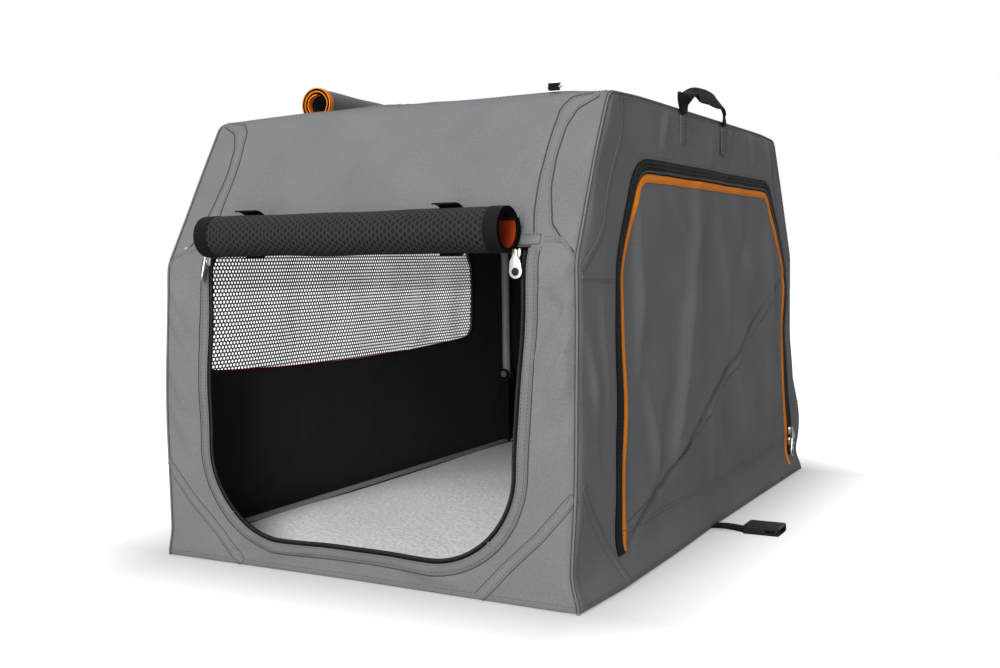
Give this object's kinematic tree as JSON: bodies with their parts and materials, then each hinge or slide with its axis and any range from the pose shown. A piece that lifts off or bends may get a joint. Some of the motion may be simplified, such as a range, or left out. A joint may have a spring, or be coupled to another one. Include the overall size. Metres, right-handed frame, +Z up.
{
  "type": "folding fabric pet crate",
  "caption": "Folding fabric crate on hinged steel side frames, with an open zipped front, a side door, a rolled window cover, a floor pad and carry handles.",
  "frame": {"origin": "middle of the base on the floor", "axes": "+Z up, the front opening faces -Y, the side door faces +X"},
  "size_m": [0.6543, 0.8067, 0.5223],
  "materials": {
    "base_tube_front": "grey powder-coated steel tube",
    "base_tube_left": "grey powder-coated steel tube",
    "base_tube_rear": "grey powder-coated steel tube",
    "base_tube_right": "grey powder-coated steel tube",
    "bed_pad": "pale fleece",
    "buckle_plug": "black moulded plastic",
    "buckle_socket": "black moulded plastic",
    "corner_bracket_front_left": "black moulded plastic",
    "corner_bracket_front_right": "black moulded plastic",
    "corner_bracket_rear_left": "black moulded plastic",
    "corner_bracket_rear_right": "black moulded plastic",
    "cover_flap": "grey woven polyester, matt",
    "cover_roll": "grey woven polyester, matt",
    "floor_board": "black stiffening board",
    "floor_cover": "grey woven polyester, matt",
    "front_door_roll": "black open mesh",
    "front_pull_left": "bright nickel-plated zip metal",
    "front_pull_right": "bright nickel-plated zip metal",
    "front_slider_left": "bright nickel-plated zip metal",
    "front_slider_right": "bright nickel-plated zip metal",
    "front_wall": "grey woven polyester, matt",
    "front_zip": "black zip tape and coil",
    "left_closing_strap": "black woven webbing",
    "left_frame_tube": "grey powder-coated steel tube",
    "left_handle": "black woven webbing",
    "left_handle_patch_front": "black woven webbing",
    "left_handle_patch_rear": "black woven webbing",
    "left_roof": "grey woven polyester, matt",
    "left_top_bar_front": "grey powder-coated steel tube",
    "left_top_bar_rear": "grey powder-coated steel tube",
    "left_top_knuckle_front": "black moulded plastic",
    "left_top_knuckle_rear": "black moulded plastic",
    "left_wall": "grey woven polyester, matt",
    "left_window_mesh": "black open mesh",
    "pivot_pin_front_left": "plain steel pin",
    "pivot_pin_front_right": "plain steel pin",
    "pivot_pin_rear_left": "plain steel pin",
    "pivot_pin_rear_right": "plain steel pin",
    "rear_wall": "grey woven polyester, matt",
    "right_closing_strap": "black woven webbing",
    "right_door": "grey woven polyester, matt",
    "right_door_binding": "orange binding tape",
    "right_frame_tube": "grey powder-coated steel tube",
    "right_handle": "black woven webbing",
    "right_handle_patch_front": "black woven webbing",
    "right_handle_patch_rear": "black woven webbing",
    "right_pull": "bright nickel-plated zip metal",
    "right_roof": "grey woven polyester, matt",
    "right_slider_lower": "bright nickel-plated zip metal",
    "right_slider_upper": "bright nickel-plated zip metal",
    "right_top_bar_front": "grey powder-coated steel tube",
    "right_top_bar_rear": "grey powder-coated steel tube",
    "right_top_knuckle_front": "black moulded plastic",
    "right_top_knuckle_rear": "black moulded plastic",
    "right_wall": "grey woven polyester, matt",
    "right_zip": "black zip tape and coil",
    "roll_strap_left": "black woven webbing",
    "roll_strap_right": "black woven webbing",
    "top_ring": "bright steel wire",
    "top_ring_tab": "black woven webbing"
  },
  "bodies": {
    "base": {"floor_cover": "floor_cover", "floor_board": "floor_board", "bed_pad": "bed_pad", "base_tube_front": "base_tube_front", "base_tube_rear": "base_tube_rear", "base_tube_left": "base_tube_left", "base_tube_right": "base_tube_right", "corner_bracket_front_left": "corner_bracket_front_left", "corner_bracket_front_right": "corner_bracket_front_right", "corner_bracket_rear_left": "corner_bracket_rear_left", "corner_bracket_rear_right": "corner_bracket_rear_right", "pivot_pin_front_left": "pivot_pin_front_left", "pivot_pin_front_right": "pivot_pin_front_right", "pivot_pin_rear_left": "pivot_pin_rear_left", "pivot_pin_rear_right": "pivot_pin_rear_right", "front_wall": "front_wall", "rear_wall": "rear_wall", "front_zip": "front_zip", "front_door_roll": "front_door_roll", "roll_strap_left": "roll_strap_left", "roll_strap_right": "roll_strap_right", "top_ring_tab": "top_ring_tab"},
    "top_ring": {"top_ring": "top_ring"},
    "front_slider_left": {"front_slider_left": "front_slider_left"},
    "front_slider_right": {"front_slider_right": "front_slider_right"},
    "front_pull_left": {"front_pull_left": "front_pull_left"},
    "front_pull_right": {"front_pull_right": "front_pull_right"},
    "right_strap": {"right_closing_strap": "right_closing_strap", "buckle_socket": "buckle_socket"},
    "left_strap": {"left_closing_strap": "left_closing_strap", "buckle_plug": "buckle_plug"},
    "right_frame": {"right_frame_tube": "right_frame_tube", "right_wall": "right_wall", "right_zip": "right_zip", "right_slider_lower": "right_slider_lower", "right_handle_patch_front": "right_handle_patch_front", "right_handle_patch_rear": "right_handle_patch_rear"},
    "right_door": {"right_door": "right_door", "right_door_binding": "right_door_binding"},
    "right_slider": {"right_slider_upper": "right_slider_upper"},
    "right_pull": {"right_pull": "right_pull"},
    "right_handle": {"right_handle": "right_handle"},
    "right_roof": {"right_roof": "right_roof", "right_top_bar_front": "right_top_bar_front", "right_top_bar_rear": "right_top_bar_rear", "right_top_knuckle_front": "right_top_knuckle_front", "right_top_knuckle_rear": "right_top_knuckle_rear"},
    "left_frame": {"left_frame_tube": "left_frame_tube", "left_wall": "left_wall", "left_window_mesh": "left_window_mesh", "cover_flap": "cover_flap", "left_handle_patch_front": "left_handle_patch_front", "left_handle_patch_rear": "left_handle_patch_rear"},
    "left_handle": {"left_handle": "left_handle"},
    "left_roof": {"left_roof": "left_roof", "cover_roll": "cover_roll", "left_top_bar_front": "left_top_bar_front", "left_top_bar_rear": "left_top_bar_rear", "left_top_knuckle_front": "left_top_knuckle_front", "left_top_knuckle_rear": "left_top_knuckle_rear"}
  },
  "joints": [
    {"name": "right_frame_fold", "type": "hinge", "parent": "base", "child": "right_frame", "pos_m": [0.226, 0, 0.045], "axis": [0, -1, 0], "range_deg": [0, 90]},
    {"name": "right_roof_fold", "type": "hinge", "parent": "right_frame", "child": "right_roof", "pos_m": [0.226, 0, 0.4667], "axis": [0, -1, 0], "range_deg": [0, 90]},
    {"name": "left_frame_fold", "type": "hinge", "parent": "base", "child": "left_frame", "pos_m": [-0.226, 0, 0.128], "axis": [0, 1, 0], "range_deg": [0, 90], "deforming": ["front_wall", "rear_wall", "front_zip", "front_door_roll", "roll_strap_left", "roll_strap_right", "top_ring_tab"]},
    {"name": "left_roof_fold", "type": "hinge", "parent": "left_frame", "child": "left_roof", "pos_m": [-0.226, 0, 0.4667], "axis": [0, 1, 0], "range_deg": [0, 90]},
    {"name": "right_door_fall", "type": "hinge", "parent": "right_frame", "child": "right_door", "pos_m": [0.24, 0, 0.0505], "axis": [0, 1, 0], "range_deg": [0, 95]},
    {"name": "right_handle_swing", "type": "hinge", "parent": "right_frame", "child": "right_handle", "pos_m": [0.2431, 0, 0.472], "axis": [0, -1, 0], "range_deg": [-90, 0]},
    {"name": "left_handle_swing", "type": "hinge", "parent": "left_frame", "child": "left_handle", "pos_m": [-0.2464, 0, 0.472], "axis": [0, 1, 0], "range_deg": [-90, 0]},
    {"name": "right_strap_lift", "type": "hinge", "parent": "base", "child": "right_strap", "pos_m": [0.2406, -0.02, 0.002], "axis": [0, 1, 0], "range_deg": [-60, 0]},
    {"name": "left_strap_lift", "type": "hinge", "parent": "base", "child": "left_strap", "pos_m": [-0.2406, -0.02, 0.002], "axis": [0, -1, 0], "range_deg": [-60, 0]},
    {"name": "top_ring_swing", "type": "hinge", "parent": "base", "child": "top_ring", "pos_m": [0.18, -0.2935, 0.4836], "axis": [1, 0, 0], "range_deg": [-20, 120]},
    {"name": "front_slider_left_run", "type": "slide", "parent": "base", "child": "front_slider_left", "axis": [0, 0, -1], "range_m": [0, 0.16]},
    {"name": "front_slider_right_run", "type": "slide", "parent": "base", "child": "front_slider_right", "axis": [0, 0, -1], "range_m": [0, 0.16]},
    {"name": "right_slider_run", "type": "slide", "parent": "right_frame", "child": "right_slider", "axis": [0, 0, 1], "range_m": [0, 0.2]},
    {"name": "front_pull_left_swing", "type": "hinge", "parent": "front_slider_left", "child": "front_pull_left", "pos_m": [-0.189, -0.3903, 0.317], "axis": [1, 0, 0], "range_deg": [-60, 0]},
    {"name": "front_pull_right_swing", "type": "hinge", "parent": "front_slider_right", "child": "front_pull_right", "pos_m": [0.189, -0.3903, 0.322], "axis": [1, 0, 0], "range_deg": [-60, 0]},
    {"name": "right_pull_swing", "type": "hinge", "parent": "right_slider", "child": "right_pull", "pos_m": [0.2453, 0.342, 0.076], "axis": [0, -1, 0], "range_deg": [0, 60]}
  ],
  "couplings": [
    {"joint": "right_roof_fold", "follows": "right_frame_fold", "ratio": 1},
    {"joint": "left_roof_fold", "follows": "left_frame_fold", "ratio": 1}
  ]
}
